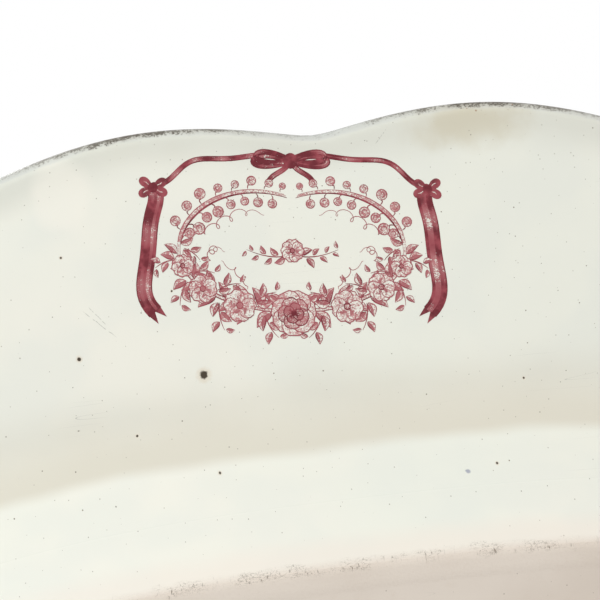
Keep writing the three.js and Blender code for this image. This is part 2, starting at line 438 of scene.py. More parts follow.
# %% [markdown]
# ## Cream, dirt and unevenness
# The glaze was dipped by hand, so it is thicker in some places than in others, and there it is greener.
# It is never quite flat either, which shows in its reflections. Along the foot the edge has rubbed on
# shelves and tables for years, and dirt has settled in what that wore open.


# %% Cream, dirt and unevenness
def cream(nodes, place):
    """The broad drift of the glaze's colour, thick and thin. The print has it under its ink too."""
    drift = nodes.smooth(nodes.noise(place, 0.018, 2), 0.35, 0.65)
    patches = nodes.smooth(nodes.noise(place, 0.055, 2), 0.42, 0.62)
    colour = nodes.blend(CREAM, GREENISH, drift * 0.6)
    return nodes.blend(colour, COOL, patches * 0.4)


def scratchy_dirt(nodes, place, inset):
    """Dirt in the worn glaze along the foot's outer edge: short ticks, fine hairs and grains, in clumps."""
    upright = nodes.add("ShaderNodeMapping", {}, {"Vector": place, "Scale": (2.6, 0.55, 1)})
    ticks = nodes.smooth(nodes.noise(upright, 1.0, 2), 0.63, 0.69)
    hair = 1
    for lean in (0.35, 1.5, 2.5):
        sockets = {"Vector": place, "Rotation": (0, 0, lean), "Scale": (0.5, 1.6, 1)}
        stretched = nodes.add("ShaderNodeMapping", {}, sockets)
        hair = hair * nodes.smooth(abs(nodes.noise(stretched, 0.9, 3, 0.6) - 0.5), 0.0, 0.012)
    grains = nodes.smooth(nodes.noise(place, 2.2, 4, 0.8), 0.59, 0.66)
    clumps = nodes.smooth(nodes.noise(place, 0.17, 4, 0.6), 0.45, 0.58)
    both = (1 - hair) * 0.7 + grains * 0.8 + ticks
    ragged = inset + drift_by(nodes, place, 0.3, 2, 1.6)
    near = nodes.smooth(ragged, 77.9, 78.9) * nodes.smooth(ragged, 80.9, 79.7)
    return both.math("MINIMUM", both, 1.0) * (clumps * 0.85 + 0.15) * near


def glaze_height(nodes, place):
    """The soft unevenness of the glaze, as a height in millimetres."""
    return nodes.noise(place, 0.11, 2) * 0.25 + nodes.noise(place, 1.1, 2) * 0.02


# %% [markdown]
# ## The whole glaze
# The material starts from the cream and lays one thing over another: painted shade in the shoulder's hollow
# and near the rim, stains, a painted highlight, flaws, a painted reflection on the lip, and the wear and
# dirt on top. Each is a colour and a mask, so any of them can be changed alone.


# %% The glaze
def glaze_material():
    material, nodes = new_material("cream_glaze")
    place = place_mm(nodes)
    height_mm = nodes.add("ShaderNodeSeparateXYZ", {}, {"Vector": place}, out="Z")
    inset = number(nodes, "inset_mm")
    crest = number(nodes, "crest")
    below = facing_down(nodes)
    colour = cream(nodes, place)

    # Painted shade: a darker, yellower band in the hollow of the shoulder on the back, which stands for the
    # shade of its concave curve.
    drift = nodes.noise(place, 0.05, 2) - 0.5
    shoulder_shade = nodes.smooth(inset + drift * 6, 43, 60) * nodes.smooth(inset + drift * 2, 62.4, 59.6)
    colour = nodes.blend(colour, SHOULDER_SHADE, shoulder_shade * below)

    # Painted shade: towards the rim the glaze is painted a little grey, for the darker shading where the
    # back curves over to the lip.
    colour = nodes.blend(colour, RIM_SHADE, nodes.smooth(inset + drift * 6, 11, 1.5))

    # A soft stain below the rim, strongest on a bulge.
    stained = nodes.smooth(nodes.noise(place, 0.03, 2), 0.5, 0.72) * nodes.smooth(inset, 13, 2) * crest
    near = spot(nodes, place, *STAIN_MARK) + drift_by(nodes, place, 0.25, 3, 0.9)
    stained = stained * 0.3 + nodes.smooth(near, 1.15, 0.25) * 0.5 * below
    colour = nodes.blend(colour, STAIN, stained)

    # A painted highlight: a soft pale patch on the back near the rim, on the left.
    near = spot(nodes, place, *HIGHLIGHT_MARK) + drift_by(nodes, place, 0.12, 2, 0.8)
    colour = nodes.blend(colour, PAINTED_HIGHLIGHT, nodes.smooth(near, 1.05, 0.55) * 0.55 * below)

    colour, hollow = glaze_flaws(nodes, place, colour)
    scratch = scratches(nodes, place)
    colour = nodes.blend(colour, SCRATCH, scratch * 0.55)

    # A painted reflection on the rounded lip: a darker bluish-grey band, strongest in the dips.
    thin = nodes.smooth(inset + drift_by(nodes, place, 0.2, 2, 0.8), 1.5, 0.9)
    colour = nodes.blend(colour, LIP_REFLECTION, thin * (0.75 - crest * 0.3))

    # On the bulges it has rubbed against walls and shelves: a soft soot with crisp grains of dirt in it.
    grain = nodes.noise(place, 2.4, 4, 0.8)
    clumps = nodes.noise(place, 0.16, 3) - 0.5
    on_edge = nodes.smooth(inset + drift_by(nodes, place, 0.5, 3, 1.1), 1.35, 0.05)
    colour = nodes.blend(colour, SOOT, on_edge * crest * (0.5 + clumps))
    dirty = grain + clumps * 0.5 + on_edge * 0.15 + crest * 0.07
    edge_dirt = nodes.smooth(dirty, 0.645, 0.71) * nodes.smooth(on_edge, 0.02, 0.2)
    colour = nodes.blend(colour, DIRT, edge_dirt * (0.25 + crest * 0.65))
    rust_place = nodes.smooth(spot(nodes, place, *RUST_MARK), 1.3, 0.6) * nodes.smooth(inset, 3.2, 1.2)
    rusty = specks(nodes, place, cell=1.9, radius=0.28, share=0.5) * rust_place
    colour = nodes.blend(colour, RUST, rusty * 0.7 * below)

    # The foot's rubbed edge: the glaze is thin and pinkish, with scratchy dirt in it.
    low = nodes.smooth(height_mm, 8, 4)
    rubbed = nodes.smooth(inset + drift_by(nodes, place, 0.10, 1, 1.5), 73.4, 77.6) * low
    colour = nodes.blend(colour, PINKISH, rubbed * 0.6)
    colour = nodes.blend(colour, BASE_PINK, nodes.smooth(inset, 78.0, 79.8) * low)
    foot_dirt = scratchy_dirt(nodes, place, inset) * low
    colour = nodes.blend(colour, EARTH, foot_dirt * 0.9)

    # Dirt and wear are duller than the glaze, and pinholes are pits in it.
    worn = nodes.smooth(inset, 60, 79)
    rough = 0.1 + hollow * 0.4 + edge_dirt * 0.45 + foot_dirt * 0.3 + worn * 0.35
    bump = bumpy(nodes, glaze_height(nodes, place) - hollow * 0.10 - scratch * 0.02, 0.35)
    principled(nodes, {"Base Color": colour, "Roughness": rough, "Normal": bump})
    return material


GLAZE = glaze_material()
print("glaze:", len(GLAZE.node_tree.nodes), "nodes")

# %% [markdown]
# ## Base glaze and bare clay
# The base was glazed thinly, so the pinkish clay shows through it. The foot that it stands on is bare: it
# has the same pink, but it is matt and grainy, and the dirt of the foot's edge runs on over it.

# %% Base glaze and bare clay
BASE_CLOUD = (0.69, 0.62, 0.545, 1)
BASE_RUB = (0.50, 0.42, 0.34, 1)
CLAY_GRAIN = (0.56, 0.47, 0.38, 1)


def base_colour(nodes, place):
    """The pinkish grey of the base, a little cloudy."""
    return nodes.blend(BASE_PINK, BASE_CLOUD, nodes.smooth(nodes.noise(place, 0.03, 4), 0.4, 0.7))


def base_material():
    material, nodes = new_material("base_glaze")
    place = place_mm(nodes)
    inset = number(nodes, "inset_mm")
    colour = base_colour(nodes, place)
    rub = nodes.smooth(nodes.noise(place, 0.35, 5, 0.7), 0.55, 0.75) * nodes.smooth(inset, 92, 84)
    colour = nodes.blend(colour, BASE_RUB, rub * 0.25)
    colour, hollow = glaze_flaws(nodes, place, colour)
    scratch = scratches(nodes, place)
    colour = nodes.blend(colour, SCRATCH, scratch * 0.4)
    bump = bumpy(nodes, glaze_height(nodes, place) - hollow * 0.1, 0.4)
    principled(nodes, {"Base Color": colour, "Roughness": 0.2 + rub * 0.3, "Normal": bump})
    return material


def clay_material():
    material, nodes = new_material("bare_clay")
    place = place_mm(nodes)
    inset = number(nodes, "inset_mm")
    grain = nodes.noise(place, 1.8, 5, 0.7)
    grainy = nodes.smooth(grain, 0.45, 0.8) * 0.2
    colour = nodes.blend(base_colour(nodes, place), CLAY_GRAIN, grainy)
    colour = nodes.blend(colour, EARTH, scratchy_dirt(nodes, place, inset) * 0.9)
    bump = bumpy(nodes, grain, 0.5, distance=0.1)
    principled(nodes, {"Base Color": colour, "Roughness": 0.7, "Normal": bump})
    return material


BASE_GLAZE = base_material()
CLAY = clay_material()
print("base glaze:", len(BASE_GLAZE.node_tree.nodes), "nodes, clay:", len(CLAY.node_tree.nodes), "nodes")

# %% [markdown]
# ## The platter
# A platter has a simple rule: a profile carried round a scalloped oval. So it is a Geometry Nodes loft. A
# grid gives the rows and columns; each column stands for a place on the rim, evenly spaced so that all
# scallops have one length, and each row for a point of the profile. The oval is a superellipse whose
# squareness grows from the rim to the foot, and the scallops fade away as the inset grows. The same tree,
# with a short flat profile, later gives the printed bands, which have to follow the same scallops.

# %% The loft tree
OVAL = {
    "Length": 445.0,
    "Width": 355.0,
    "Rim squareness": 2.35,
    "Foot squareness": 2.75,
    "Foot inset": 79.5,
    "Scallops": 20.0,
    "Scallop depth": 4.1,
    "Scallop softness": 0.12,
    "Scallop reach": 22.0,
    "Close from": 84.0,
    "Close to": 100.0,
}
OUTLINE_STEPS = 7200      # how finely the oval is drawn before it is cut into even steps
SEAM_GAP = 0.002          # points nearer than this, in millimetres, are one


def signed_power(wire, power):
    """A power that keeps the sign of its base."""
    return wire.math("SIGN", wire) * abs(wire) ** power


def loft_tree():
    kinds = {name: "Float" for name in OVAL}
    kinds |= {"Profile": "Object", "Around": "Int", "Wobble": "Float", "Seed": "Float"}
    kinds |= {"Material": "Material"}
    nodes, size = geometry_tree("scalloped_loft", kinds)
    half_length = size["Length"] * 0.5
    half_width = size["Width"] * 0.5

    # The oval of the rim, cut into even steps.
    circle = nodes.add("GeometryNodeCurvePrimitiveCircle", {}, {"Resolution": OUTLINE_STEPS, "Radius": 1.0})
    spoke = nodes.add("GeometryNodeInputPosition")
    unit_x = nodes.add("ShaderNodeSeparateXYZ", {}, {"Vector": spoke})
    unit_y = Wire(nodes, unit_x.socket.node.outputs["Y"])
    power = 2 / size["Rim squareness"]
    rim = nodes.add("ShaderNodeCombineXYZ", {}, {
        "X": signed_power(unit_x, power) * half_length,
        "Y": signed_power(unit_y, power) * half_width,
    })
    oval = nodes.add("GeometryNodeSetPosition", {}, {"Geometry": circle, "Position": rim})
    even = nodes.add("GeometryNodeResampleCurve", {}, {"Curve": oval, "Count": size["Around"]})

    # A grid with a column for each step, and one more that is merged with the first at the end.
    profile = nodes.add("GeometryNodeObjectInfo", {}, {"Object": size["Profile"]}, out="Geometry")
    rows = nodes.add("GeometryNodeAttributeDomainSize", {}, {"Geometry": profile}, out="Point Count")
    grid = nodes.add("GeometryNodeMeshGrid", {}, {
        "Size X": 1.0,
        "Size Y": 1.0,
        "Vertices X": size["Around"] + 1,
        "Vertices Y": rows,
    })
    cell = nodes.add("ShaderNodeSeparateXYZ", {}, {"Vector": nodes.add("GeometryNodeInputPosition")})
    cell_y = Wire(nodes, cell.socket.node.outputs["Y"])
    step = cell.math("ROUND", (cell + 0.5) * size["Around"])
    row = cell.math("ROUND", (cell_y + 0.5) * (rows - 1))
    column = step.math("MODULO", step, size["Around"])

    def sample(geometry, index):
        settings = {"data_type": "FLOAT_VECTOR"}
        here = nodes.add("GeometryNodeInputPosition")
        sockets = {"Geometry": geometry, "Value": here, "Index": index}
        found = nodes.add("GeometryNodeSampleIndex", settings, sockets)
        parts = nodes.add("ShaderNodeSeparateXYZ", {}, {"Vector": found})
        return parts, Wire(nodes, parts.socket.node.outputs["Y"])

    # The profile's point: its inset, which closes on the centre past "Close from", and its height.
    reach, height = sample(profile, row)
    inset = reach.math("MINIMUM", reach, size["Close from"])
    past = reach.math("MAXIMUM", reach - size["Close from"], 0.0)
    shrink = 1 - past / (size["Close to"] - size["Close from"])

    # The direction of the column, from the rim's own superellipse.
    rim_x, rim_y = sample(even, column)
    back_power = size["Rim squareness"] * 0.5
    along = signed_power(rim_x / half_length, back_power)
    across = signed_power(rim_y / half_width, back_power)
    share = inset.math("MINIMUM", inset / size["Foot inset"], 1.0)
    squareness = size["Rim squareness"] + share * (size["Foot squareness"] - size["Rim squareness"])
    power = 2 / squareness
    ring_x = signed_power(along, power) * (half_length - inset) * shrink
    ring_y = signed_power(across, power) * (half_width - inset) * shrink

    # The scallops, cut in square to the outline.
    outward = nodes.vector("NORMALIZE", nodes.add("ShaderNodeCombineXYZ", {}, {
        "X": signed_power(along, 2 - power) / (half_length - inset),
        "Y": signed_power(across, 2 - power) / (half_width - inset),
    }))
    swing = step.math("SINE", step / size["Around"] * size["Scallops"] * math.pi)
    soft = size["Scallop softness"]
    rounded = (swing * swing + soft * soft) ** 0.5 - soft
    crest = rounded / ((1 + soft * soft) ** 0.5 - soft)
    fade = nodes.smooth(inset, size["Scallop reach"], 0.0)
    cut = size["Scallop depth"] * (1 - crest) * fade
    inward = nodes.scale(outward, 0 - cut)
    flat = nodes.add("ShaderNodeCombineXYZ", {}, {"X": ring_x, "Y": ring_y, "Z": height})
    placed = nodes.vector("ADD", flat, inward)

    # A hand's unevenness, none at the foot, where the platter was rubbed level.
    wave = nodes.add("ShaderNodeTexNoise", {"noise_dimensions": "4D"}, {
        "Vector": placed, "Scale": 0.012, "Detail": 1.0, "W": size["Seed"],
    })
    lift = (wave - 0.5) * size["Wobble"] * nodes.smooth(inset, 70.0, 30.0)
    raised = nodes.vector("ADD", placed, nodes.add("ShaderNodeCombineXYZ", {}, {"Z": lift}))
    in_metres = nodes.scale(raised, MM)
    skin = grid
    for name, value in (("inset_mm", reach), ("crest", crest)):
        sockets = {"Geometry": skin, "Name": name, "Value": value}
        skin = nodes.add("GeometryNodeStoreNamedAttribute", {}, sockets)
    skin = nodes.add("GeometryNodeSetPosition", {}, {"Geometry": skin, "Position": in_metres})
    skin = nodes.add("GeometryNodeMergeByDistance", {}, {"Geometry": skin, "Distance": SEAM_GAP * MM})
    skin = nodes.add("GeometryNodeSetShadeSmooth", {}, {"Geometry": skin})
    nodes.finish_geometry(skin, size["Material"])
    return nodes.tree


LOFT = loft_tree()
print("loft tree:", len(LOFT.nodes), "nodes")


# %% Run a tree
SHARP_ANGLE = math.radians(40)


def add_piece(name, mesh):
    piece = bpy.data.objects.new(name, mesh)
    bpy.context.scene.collection.objects.link(piece)
    return piece


def settle(piece):
    """Keeps what the modifiers make as the piece's plain mesh, and removes them."""
    ready = bpy.context.evaluated_depsgraph_get()
    mesh = bpy.data.meshes.new_from_object(
        piece.evaluated_get(ready), preserve_all_data_layers=True, depsgraph=ready
    )
    piece.modifiers.clear()
    piece.data = mesh
    mesh.name = piece.name


def grow(name, tree, values):
    """Runs a Geometry Nodes tree and keeps what it makes as a plain mesh."""
    piece = add_piece(name, bpy.data.meshes.new(name))
    modifier = piece.modifiers.new("grow", "NODES")
    modifier.node_group = tree
    for item in tree.interface.items_tree:
        if item.in_out == "INPUT":
            modifier[item.identifier] = values[item.name]
    settle(piece)
    return piece


def points_object(name, points, closed=False):
    """A helper whose points, in order, are a profile or a path."""
    mesh = bpy.data.meshes.new(name)
    edges = [(k, k + 1) for k in range(len(points) - 1)]
    mesh.from_pydata(points, edges + [(len(points) - 1, 0)] * closed, [])
    return add_piece(name, mesh)


def loft(name, profile, material, around=600, wobble=0.0):
    """A profile of inset and height carried round the oval in a number of columns."""
    helper = points_object(name + "_profile", [(inset, height, 0) for inset, height in profile])
    values = {"Profile": helper, "Around": around, "Wobble": wobble, "Seed": 3.0}
    piece = grow(name, LOFT, OVAL | values | {"Material": material})
    bpy.data.objects.remove(helper)
    piece.data.set_sharp_from_angle(angle=SHARP_ANGLE)
    return piece


def turn_outward(piece):
    """Turns a closed piece's faces outward if the loft made them face inward."""
    shell = bmesh.new()
    shell.from_mesh(piece.data)
    if shell.calc_volume(signed=True) < 0:
        bmesh.ops.reverse_faces(shell, faces=shell.faces)
    shell.to_mesh(piece.data)
    volume = abs(shell.calc_volume()) * 1e6
    shell.free()
    print(f"{piece.name}: {len(piece.data.polygons)} faces, {volume:.0f} cm3")


# %% [markdown]
# ## The profile
# The profile is a chain of curves from the middle of the face out to the lip and back under to the foot.
# Its points are pairs of inset and height in millimetres. The back of the rim is a gentle S: nearly flat
# at the lip, steeper in the middle, and nearly flat again before the hollow shoulder.


# %% Curves of the profile
def curve(points, steps):
    """A Bezier curve of any order through its end points, without its first point."""
    found = []
    for k in range(1, steps + 1):
        layer = [Vector(p) for p in points]
        while len(layer) > 1:
            layer = [a.lerp(b, k / steps) for a, b in zip(layer, layer[1:])]
        found.append(tuple(layer[0]))
    return found


def arc(centre, radius, start, end, steps):
    """A round stretch between two angles in degrees, without its first point."""
    found = []
    for k in range(1, steps + 1):
        angle = math.radians(start + (end - start) * k / steps)
        found.append((centre[0] + radius * math.cos(angle), centre[1] + radius * math.sin(angle)))
    return found


RIM_TOP = 38.0
LIP_RADIUS = 2.5
FLOOR_TOP = 6.4
FOOT = OVAL["Foot inset"]
FOOT_FLAT = 3.5
BASE_HEIGHT = 0.9
INSIDE = 2.0              # the hidden height at which the glazed piece is closed

face_profile = [(OVAL["Close to"], FLOOR_TOP)]
face_profile += curve([(100, FLOOR_TOP), (84, FLOOR_TOP)], 6)
face_profile += curve([(84, FLOOR_TOP), (75, FLOOR_TOP + 0.2), (69, 13.5)], 14)
face_profile += curve([(69, 13.5), (59, 25.4)], 5)
face_profile += curve([(59, 25.4), (55, 30.2), (48, 31)], 12)
face_profile += curve([(48, 31), (34, 32.6), (20, 36.6), (7, RIM_TOP - 0.4)], 16)
face_profile += curve([(7, RIM_TOP - 0.4), (4.2, RIM_TOP), (LIP_RADIUS, RIM_TOP)], 5)
back_profile = arc((LIP_RADIUS, RIM_TOP - LIP_RADIUS), LIP_RADIUS, 90, 262, 14)
back_profile += curve([back_profile[-1], (14, 32.0), (38, 26.5), (50.5, 25.3)], 22)
back_profile += curve([(50.5, 25.3), (57.4, 24.7), (63, 18.5)], 14)
back_profile += curve([(63, 18.5), (FOOT - 5, 5)], 9)
back_profile += curve([(FOOT - 5, 5), (FOOT - 2.2, 1.7), (FOOT - 1, 0.55), (FOOT + 0.2, 0.22)], 9)
under_profile = curve([back_profile[-1], (FOOT + 0.4, INSIDE)], 1)
under_profile += curve([(FOOT + 0.4, INSIDE), (OVAL["Close to"], INSIDE)], 3)

PLATTER_WOBBLE = 0.9
platter = loft("glazed_platter", face_profile + back_profile + under_profile, GLAZE, wobble=PLATTER_WOBBLE)
turn_outward(platter)

# %% [markdown]
# ## Foot and base
# The foot is the only place with no glaze. It is rubbed level on the wheel, so it is a narrow flat ring
# of bare clay, and inside it the base carries a thin, pinkish glaze of its own. Both are lofts too, each
# closed on itself: a ring by repeating the first point of its profile, a disc by starting and ending at
# the centre.

# %% Foot and base pieces
FOOT_INNER = FOOT + 1 + FOOT_FLAT
foot_ring = [(FOOT, 1.9), (FOOT, 0.26)]
foot_ring += curve([(FOOT, 0.26), (FOOT + 0.5, 0.05), (FOOT + 1.2, 0)], 4)
foot_ring += curve([(FOOT + 1.2, 0), (FOOT + FOOT_FLAT - 0.8, 0)], 4)
foot_ring += curve([(FOOT + FOOT_FLAT - 0.8, 0), (FOOT + FOOT_FLAT, 0), (FOOT_INNER, 0.12)], 5)
foot_ring += [(FOOT_INNER, 1.9), (FOOT, 1.9)]
foot = loft("clay_foot", foot_ring, CLAY)
turn_outward(foot)

base_start = (FOOT_INNER - 0.2, 0.11)
base_profile = [(OVAL["Close to"], 1.95), (92, 1.95), (FOOT_INNER - 0.2, 1.95), base_start]
rise = [(FOOT_INNER + 1.5, 0.5), (FOOT_INNER + 3, BASE_HEIGHT), (90, BASE_HEIGHT)]
base_profile += curve([base_start, *rise], 8)
base_profile += curve([(90, BASE_HEIGHT), (OVAL["Close to"], BASE_HEIGHT)], 6)
base = loft("glazed_base", base_profile, BASE_GLAZE)
turn_outward(base)

for piece, slot, node in (
    (platter, "glaze", "glaze_coat"),
    (foot, "clay", "clay_body"),
    (base, "glaze", "base_glaze"),
):
    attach(piece, "root")
    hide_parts(node)

# %% [markdown]
# ## The ink
# The mark and the pattern are transfer prints: an engraved copper plate prints them on thin paper, the
# paper is rubbed on to the clay, and the glaze goes over them. So the ink has the glaze's shine, and it
# is never even. Deep lines print dark, shallow ones pale, and a tint is a field of dots. Each point of
# the drawings below carries a number, `paleness`: 0 is a full line, and towards 1 the ink breaks up into
# dots.

# %% Ink
INK_DEEP = (0.125, 0.012, 0.02, 1)
INK_FULL = (0.30, 0.055, 0.072, 1)
INK_THIN = (0.50, 0.175, 0.19, 1)


def ink_material():
    material, nodes = new_material("crimson_print")
    place = place_mm(nodes)
    pale = number(nodes, "paleness")
    blotches = nodes.noise(place, 0.45, 3)
    grain = nodes.noise(place, 4.2, 3, 0.6) * 0.7 + nodes.noise(place, 1.3, 2) * 0.3
    amount = 1 - nodes.smooth(pale + (blotches - 0.5) * 0.9, 0.0, 0.9)
    ink = nodes.blend(INK_THIN, INK_FULL, amount)
    dark = nodes.smooth(pale + (blotches - 0.5) * 0.7, 0.12, -0.06)
    ink = nodes.blend(ink, INK_DEEP, dark * 0.85)
    broken = grain + (blotches - 0.5) * 0.25
    dots = nodes.smooth(broken, pale * 0.42 + 0.17, pale * 0.42 + 0.35)
    colour = nodes.blend(cream(nodes, place), ink, dots * (1 - pale * 0.2))
    bump = bumpy(nodes, glaze_height(nodes, place), 0.35)
    principled(nodes, {"Base Color": colour, "Roughness": 0.11 + dots * 0.05, "Normal": bump})
    return material


INK = ink_material()
print("ink:", len(INK.node_tree.nodes), "nodes")

# %% [markdown]
# ## Drawing
# A print is flat, so it is drawn flat and pressed on to the platter afterwards. A drawing is a list of
# points and faces, and each point keeps its paleness. Points are complex numbers, because multiplying by
# one turns and scales a shape. Every shape lies on a layer, and higher layers hide lower ones, as on an
# engraved plate where the leaves stop at the edge of a petal.


# %% The drawing class
def turn(degrees):
    return cmath.rect(1, math.radians(degrees))


class Drawing:
    """Flat shapes in millimetres."""

    def __init__(self):
        self.points = []
        self.faces = []
        self.paleness = []

    def fan(self, middle, outline, paleness, layer):
        """A filled shape round its middle point. It is turned anticlockwise, so that it faces up."""
        pairs = zip(outline, outline[1:] + outline[:1])
        if sum((a.conjugate() * b).imag for a, b in pairs) < 0:
            outline = outline[::-1]
        first = len(self.points)
        for point in (middle, *outline):
            self.points.append((point.real, point.imag, layer))
            self.paleness.append(paleness)
        count = len(outline)
        self.faces += [(first, first + 1 + k, first + 1 + (k + 1) % count) for k in range(count)]

    def band(self, left, right, paleness, layer):
        """A strip between two rows of points. The paleness may be a list with one value for each pair."""
        first = len(self.points)
        values = paleness if isinstance(paleness, list) else [paleness] * len(left)
        for a, b, value in zip(left, right, values):
            self.points += [(a.real, a.imag, layer), (b.real, b.imag, layer)]
            self.paleness += [value, value]
        for k in range(first, first + 2 * len(left) - 2, 2):
            self.faces.append((k, k + 1, k + 3, k + 2))

    def stroke(self, path, width, paleness=0.0, layer=1, start=0.5, end=0.3):
        """A line along a path, thinner at its start and end."""
        left, right = [], []
        last = len(path) - 1
        for k, point in enumerate(path):
            step = path[min(k + 1, last)] - path[max(k - 1, 0)]
            share = k / last
            thickness = min(1, start + share * 4 * (1 - start), end + (1 - share) * 2 * (1 - end))
            side = step / abs(step) * 1j * width * thickness / 2
            left.append(point + side)
            right.append(point - side)
        self.band(left, right, paleness, layer)

    def take(self, other, place=0, by=1, layer=0):
        """Adds another drawing, scaled and turned by one complex number and moved to a place."""
        first = len(self.points)
        for x, y, z in other.points:
            point = place + complex(x, y) * by
            self.points.append((point.real, point.imag, z + layer))
        self.paleness += other.paleness
        self.faces += [tuple(first + k for k in face) for face in other.faces]

    def mirrored(self):
        """The mirror image about the upright axis."""
        other = Drawing()
        other.points = [(-x, y, z) for x, y, z in self.points]
        other.faces = [face[::-1] for face in self.faces]
        other.paleness = list(self.paleness)
        return other


def bezier_path(points, steps=16):
    """A Bezier curve through complex control points."""
    pairs = [(point.real, point.imag) for point in points]
    return [points[0]] + [complex(x, y) for x, y in curve(pairs, steps)]


def ring_path(middle, radius, start=0, sweep=360, steps=16, flat=1.0):
    """A round path from an angle on, in degrees. Where the sweep is whole, its end falls on its start."""
    angles = [math.radians(start + sweep * k / steps) for k in range(steps + 1)]
    return [middle + radius * complex(math.cos(a), flat * math.sin(a)) for a in angles]


print("drawing helpers ready")

# %% [markdown]
# ## Leaves, buds and flowers
# The engraver builds them all in the same way: an outline, a pale side and a darker side, and a few lines
# that follow the form. Each is drawn once round its own origin and then taken into the garland many
# times.


# %% Leaves and buds
LINE = 0.2


def leaf(length, width, bend=0.12):
    """A leaf from the origin along +X, with its shaded half on the right."""
    drawing = Drawing()
    steps = 7
    middle, left, right = [], [], []
    for k in range(steps + 1):
        share = k / steps
        half = width / 2 * math.sin(math.pi * share ** 0.8) + 0.02
        spine = complex(length * share, bend * length * math.sin(math.pi * share))
        middle.append(spine)
        left.append(spine + 1j * half)
        right.append(spine - 1j * half)
    drawing.band(left, middle, 0.54, 0)
    drawing.band(middle, right, 0.28, 0)
    drawing.stroke(left, LINE, 0.2, 0.2)
    drawing.stroke(right, LINE * 1.2, 0.05, 0.2)
    drawing.stroke(middle[:-1], LINE * 0.8, 0.2, 0.4)
    return drawing


def bud(radius):
    """A round bud on a short hooked stem from the origin along +X."""
    drawing = Drawing()
    centre = complex(radius * 1.9, radius * 0.2)
    hook = bezier_path([0, complex(radius, -radius * 0.5), centre - radius], 4)
    drawing.stroke(hook, LINE, 0.05, 0.2, end=0.8)
    drawing.fan(centre, ring_path(centre, radius, steps=9)[:-1], 0.46, 0)
    drawing.stroke(ring_path(centre, radius, 200, 335, 11), LINE, 0.15, 0.4, end=0.5)
    drawing.stroke(ring_path(centre, radius * 0.5, 160, 230, 5), LINE * 1.2, 0.2, 0.4)
    return drawing


print("a leaf has", len(leaf(3, 1).faces), "faces and a bud", len(bud(0.6).faces))


# %% Flowers
def petal(length, width, notch=0.12):
    """A petal from the origin along +X, with hatching from its root."""
    drawing = Drawing()
    outline = []
    for k in range(13):
        share = k / 12
        angle = math.pi * (share * 2 - 1) * 0.86
        reach = length * (0.5 + 0.5 * math.cos(angle)) * (1 - notch * math.exp(-(angle / 0.25) ** 2))
        outline.append(complex(reach, width / 2 * math.sin(angle)))
    drawing.fan(complex(length * 0.55, 0), outline, 0.58, 0)
    drawing.stroke(outline, LINE, 0.18, 0.6, end=0.6)
    for slope, reach in ((-0.3, 0.5), (-0.1, 0.68), (0.12, 0.6), (0.32, 0.46)):
        tip = complex(length * reach, width * slope)
        drawing.stroke([tip * 0.3, tip * 0.65, tip], LINE * 0.8, 0.35, 0.4, start=1, end=0.2)
    shade = [complex(length * x, width * y) for x, y in ((0.5, -0.12), (0.15, 0.0), (0.45, -0.42))]
    drawing.fan(sum(shade) / 3, shade, 0.3, 0.2)
    return drawing


def flower(radius, petals=5, angle=0):
    """An open flower with one ring of petals and a dark eye."""
    drawing = Drawing()
    for k in range(petals):
        part = petal(radius, radius * 1.2)
        drawing.take(part, 0, turn(angle + 360 * k / petals), layer=k)
    eye = radius * 0.2
    drawing.fan(0, ring_path(0, eye, steps=8)[:-1], 0.3, petals)
    drawing.stroke(ring_path(0, eye, 0, 340, 9), LINE, 0, petals + 0.3, start=1, end=1)
    return drawing


def rose(radius, angle=0):
    """A full rose: three rings of petals that get smaller and darker, and a dark heart."""
    drawing = Drawing()
    for ring, (count, size) in enumerate(((7, 1.0), (5, 0.7), (4, 0.45))):
        for k in range(count):
            part = petal(radius * size, radius * size * 1.05, notch=0.05)
            if ring:
                part.paleness = [max(0, value - 0.14 * ring) for value in part.paleness]
            way = turn(angle + 31 * ring + 360 * k / count)
            drawing.take(part, 0, way, layer=ring * 6 + k)
    drawing.fan(0, ring_path(0, radius * 0.13, steps=8)[:-1], 0.0, 18)
    return drawing


def tendril(drawing, points, loops, radius, steps=64):
    """A thin line that turns over itself in small loops, to the right for a negative radius."""
    path = []
    for k, point in enumerate(bezier_path(points, steps)):
        share = k / steps
        size = radius * min(1, share * 3, (1 - share) * 5)
        path.append(point + size * 1j * (1 - turn(360 * loops * share)))
    drawing.stroke(path, LINE * 0.75, 0.25, 1, end=0.5)


print("a flower has", len(flower(3).faces), "faces and a rose", len(rose(4).faces))

# %% [markdown]
# ## A tree for twigs
# Leaves on a twig and buds on a frond repeat along a path, so a Geometry Nodes tree sets them: it spaces
# points on the path, turns a copy of the leaf along it, first to one side and then to the other, and
# makes the copies smaller towards the tip. The same tree later sets the motifs of the border round the
# rim.

# %% The twig tree
TWIG = {
    "Count": 9,
    "Angle": 52.0,
    "Offset": 0.3,
    "Base size": 1.0,
    "Tip size": 0.55,
    "Unevenness": 0.15,
    "Layer step": 0.6,
    "Seed": 1,
}
SWING = 60                # the degrees that a whole unevenness may turn a copy by, either way


